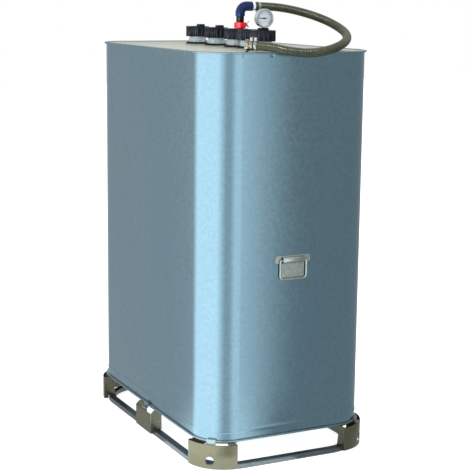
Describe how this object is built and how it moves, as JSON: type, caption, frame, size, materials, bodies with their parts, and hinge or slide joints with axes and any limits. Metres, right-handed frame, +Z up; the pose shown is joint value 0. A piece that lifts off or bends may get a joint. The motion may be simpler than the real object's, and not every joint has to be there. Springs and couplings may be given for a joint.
{
  "type": "intermediate bulk container",
  "caption": "Tall steel-jacketed plastic tank on a skid base, with screw caps, a dial gauge, carrying handles and a suction line with an outlet hose.",
  "frame": {"origin": "on the floor under the middle of the container", "axes": "+Z up, +X along the long way of the body towards the handle nearer the gauge, +Y towards the side that the hose starts out to"},
  "size_m": [1.2613, 0.77, 1.7865],
  "materials": {
    "jacket_steel": "spangled galvanised",
    "top_sheet_steel": "spangled galvanised",
    "ring_steel": "galvanised, worn",
    "foot_steel": "yellow passivated zinc",
    "clip_steel": "zinc plated",
    "tank_plastic": "natural moulded",
    "black_rubber": "matt",
    "nut_plastic": "glossy moulded",
    "insert_plastic": "moulded",
    "slip_plastic": "moulded",
    "plug_plastic": "moulded",
    "pipe_plastic": "moulded",
    "valve_plastic": "moulded",
    "elbow_plastic": "glossy moulded",
    "white_plastic": "moulded",
    "brass": "turned",
    "gauge_steel": "polished",
    "dial_face": "painted",
    "needle_black": "painted",
    "gauge_glass": "clear",
    "probe_steel": "drawn",
    "handle_steel": "zinc plated",
    "hose_rubber": "ribbed, slightly translucent",
    "clamp_steel": "plated",
    "coupling_metal": "machined"
  },
  "bodies": {
    "container": {"bourdon_tube": "brass", "clamp_bolts": "clamp_steel", "corner_foot_back_left": "foot_steel", "corner_foot_back_right": "foot_steel", "corner_foot_front_left": "foot_steel", "corner_foot_front_right": "foot_steel", "coupling_tail": "brass", "dip_tube": "pipe_plastic", "elbow": "elbow_plastic", "gauge_adapter": "pipe_plastic", "gauge_bezel": "gauge_steel", "gauge_case": "gauge_steel", "gauge_dial": "dial_face", "gauge_insert": "insert_plastic", "gauge_lens": "gauge_glass", "handle_plates": "handle_steel", "handle_rivets": "handle_steel", "hose": "hose_rubber", "hose_clamps": "clamp_steel", "hose_tail": "white_plastic", "inner_tank": "tank_plastic", "jacket_bottom": "jacket_steel", "jacket_top": "top_sheet_steel", "jacket_wall": "jacket_steel", "level_probe": "probe_steel", "mid_foot_back": "foot_steel", "mid_foot_front": "foot_steel", "neck_gaskets": "black_rubber", "neck_grommets": "black_rubber", "rim_clips": "clip_steel", "riser_pipe": "pipe_plastic", "rolled_seams": "jacket_steel", "shutoff_valve": "valve_plastic", "skid_ring": "ring_steel", "suction_insert": "insert_plastic", "tank_necks": "tank_plastic", "under_shelves": "foot_steel", "vent_cock": "brass"},
    "fill_cap": {"fill_insert": "insert_plastic", "fill_slip_ring": "slip_plastic"},
    "fill_cap_nut": {"fill_nut": "nut_plastic"},
    "fill_plug_ring": {"fill_plug_seal": "black_rubber"},
    "fill_plug_screw": {"fill_plug": "plug_plastic"},
    "vent_cap": {"vent_insert": "insert_plastic", "vent_slip_ring": "slip_plastic"},
    "vent_cap_nut": {"vent_nut": "nut_plastic"},
    "vent_plug_ring": {"vent_plug_seal": "black_rubber"},
    "vent_plug_screw": {"vent_plug": "plug_plastic"},
    "suction_cap_ring": {"suction_slip_ring": "slip_plastic"},
    "suction_cap_nut": {"suction_nut": "nut_plastic"},
    "spare_cap": {"spare_insert": "insert_plastic", "spare_slip_ring": "slip_plastic"},
    "spare_cap_nut": {"spare_nut": "nut_plastic"},
    "gauge_cap_ring": {"gauge_slip_ring": "slip_plastic"},
    "gauge_cap_nut": {"gauge_nut": "nut_plastic"},
    "vent_cock_lever": {"vent_lever": "brass"},
    "pointer": {"gauge_needle": "needle_black"},
    "bail_right": {"handle_bail_right": "handle_steel"},
    "bail_left": {"handle_bail_left": "handle_steel"},
    "coupling_ring": {"coupling_nut": "coupling_metal"}
  },
  "joints": [
    {"name": "fill_cap_lift", "type": "slide", "parent": "container", "child": "fill_cap", "axis": [0, 0, 1], "range_m": [0, 0.018]},
    {"name": "fill_cap_turn", "type": "hinge", "parent": "fill_cap", "child": "fill_cap_nut", "pos_m": [-0.304, 0, 1.655], "axis": [0, 0, 1], "range_deg": [0, 1080]},
    {"name": "fill_plug_lift", "type": "slide", "parent": "fill_cap", "child": "fill_plug_ring", "axis": [0, 0, 1], "range_m": [0, 0.00577]},
    {"name": "fill_plug_turn", "type": "hinge", "parent": "fill_plug_ring", "child": "fill_plug_screw", "pos_m": [-0.304, 0.015, 1.68], "axis": [0, 0, 1], "range_deg": [0, 900]},
    {"name": "vent_cap_lift", "type": "slide", "parent": "container", "child": "vent_cap", "axis": [0, 0, 1], "range_m": [0, 0.018]},
    {"name": "vent_cap_turn", "type": "hinge", "parent": "vent_cap", "child": "vent_cap_nut", "pos_m": [-0.118, 0, 1.655], "axis": [0, 0, 1], "range_deg": [0, 1080]},
    {"name": "vent_plug_lift", "type": "slide", "parent": "vent_cap", "child": "vent_plug_ring", "axis": [0, 0, 1], "range_m": [0, 0.00577]},
    {"name": "vent_plug_turn", "type": "hinge", "parent": "vent_plug_ring", "child": "vent_plug_screw", "pos_m": [-0.118, 0.015, 1.68], "axis": [0, 0, 1], "range_deg": [0, 900]},
    {"name": "suction_cap_lift", "type": "slide", "parent": "container", "child": "suction_cap_ring", "axis": [0, 0, 1], "range_m": [0, 0.001]},
    {"name": "suction_cap_turn", "type": "hinge", "parent": "suction_cap_ring", "child": "suction_cap_nut", "pos_m": [0.068, 0, 1.655], "axis": [0, 0, 1], "range_deg": [0, 60]},
    {"name": "spare_cap_lift", "type": "slide", "parent": "container", "child": "spare_cap", "axis": [0, 0, 1], "range_m": [0, 0.018]},
    {"name": "spare_cap_turn", "type": "hinge", "parent": "spare_cap", "child": "spare_cap_nut", "pos_m": [0.1855, 0, 1.655], "axis": [0, 0, 1], "range_deg": [0, 1080]},
    {"name": "gauge_cap_lift", "type": "slide", "parent": "container", "child": "gauge_cap_ring", "axis": [0, 0, 1], "range_m": [0, 0.006]},
    {"name": "gauge_cap_turn", "type": "hinge", "parent": "gauge_cap_ring", "child": "gauge_cap_nut", "pos_m": [0.303, 0, 1.655], "axis": [0, 0, 1], "range_deg": [0, 360]},
    {"name": "vent_lever_turn", "type": "hinge", "parent": "container", "child": "vent_cock_lever", "pos_m": [0.068, 0.0455, 1.7], "axis": [0, 0, 1], "range_deg": [0, 90]},
    {"name": "gauge_pointer_turn", "type": "hinge", "parent": "container", "child": "pointer", "pos_m": [0.31, 0, 1.723], "axis": [-1, 0, 0], "range_deg": [-45, 225]},
    {"name": "handle_right_lift", "type": "hinge", "parent": "container", "child": "bail_right", "pos_m": [0.5805, 0, 0.811], "axis": [0, -1, 0], "range_deg": [0, 100]},
    {"name": "handle_left_lift", "type": "hinge", "parent": "container", "child": "bail_left", "pos_m": [-0.5805, 0, 0.811], "axis": [0, 1, 0], "range_deg": [0, 100]},
    {"name": "coupling_nut_turn", "type": "hinge", "parent": "container", "child": "coupling_ring", "pos_m": [0.554, -0.189, 1.628], "axis": [-0.6834, -0.73, 0], "continuous": true}
  ],
  "couplings": [
    {"joint": "fill_cap_lift", "follows": "fill_cap_turn", "m_per_rad": 0.00095493},
    {"joint": "fill_plug_lift", "follows": "fill_plug_turn", "m_per_rad": 0.00036749},
    {"joint": "vent_cap_lift", "follows": "vent_cap_turn", "m_per_rad": 0.00095493},
    {"joint": "vent_plug_lift", "follows": "vent_plug_turn", "m_per_rad": 0.00036749},
    {"joint": "suction_cap_lift", "follows": "suction_cap_turn", "m_per_rad": 0.00095493},
    {"joint": "spare_cap_lift", "follows": "spare_cap_turn", "m_per_rad": 0.00095493},
    {"joint": "gauge_cap_lift", "follows": "gauge_cap_turn", "m_per_rad": 0.00095493}
  ]
}
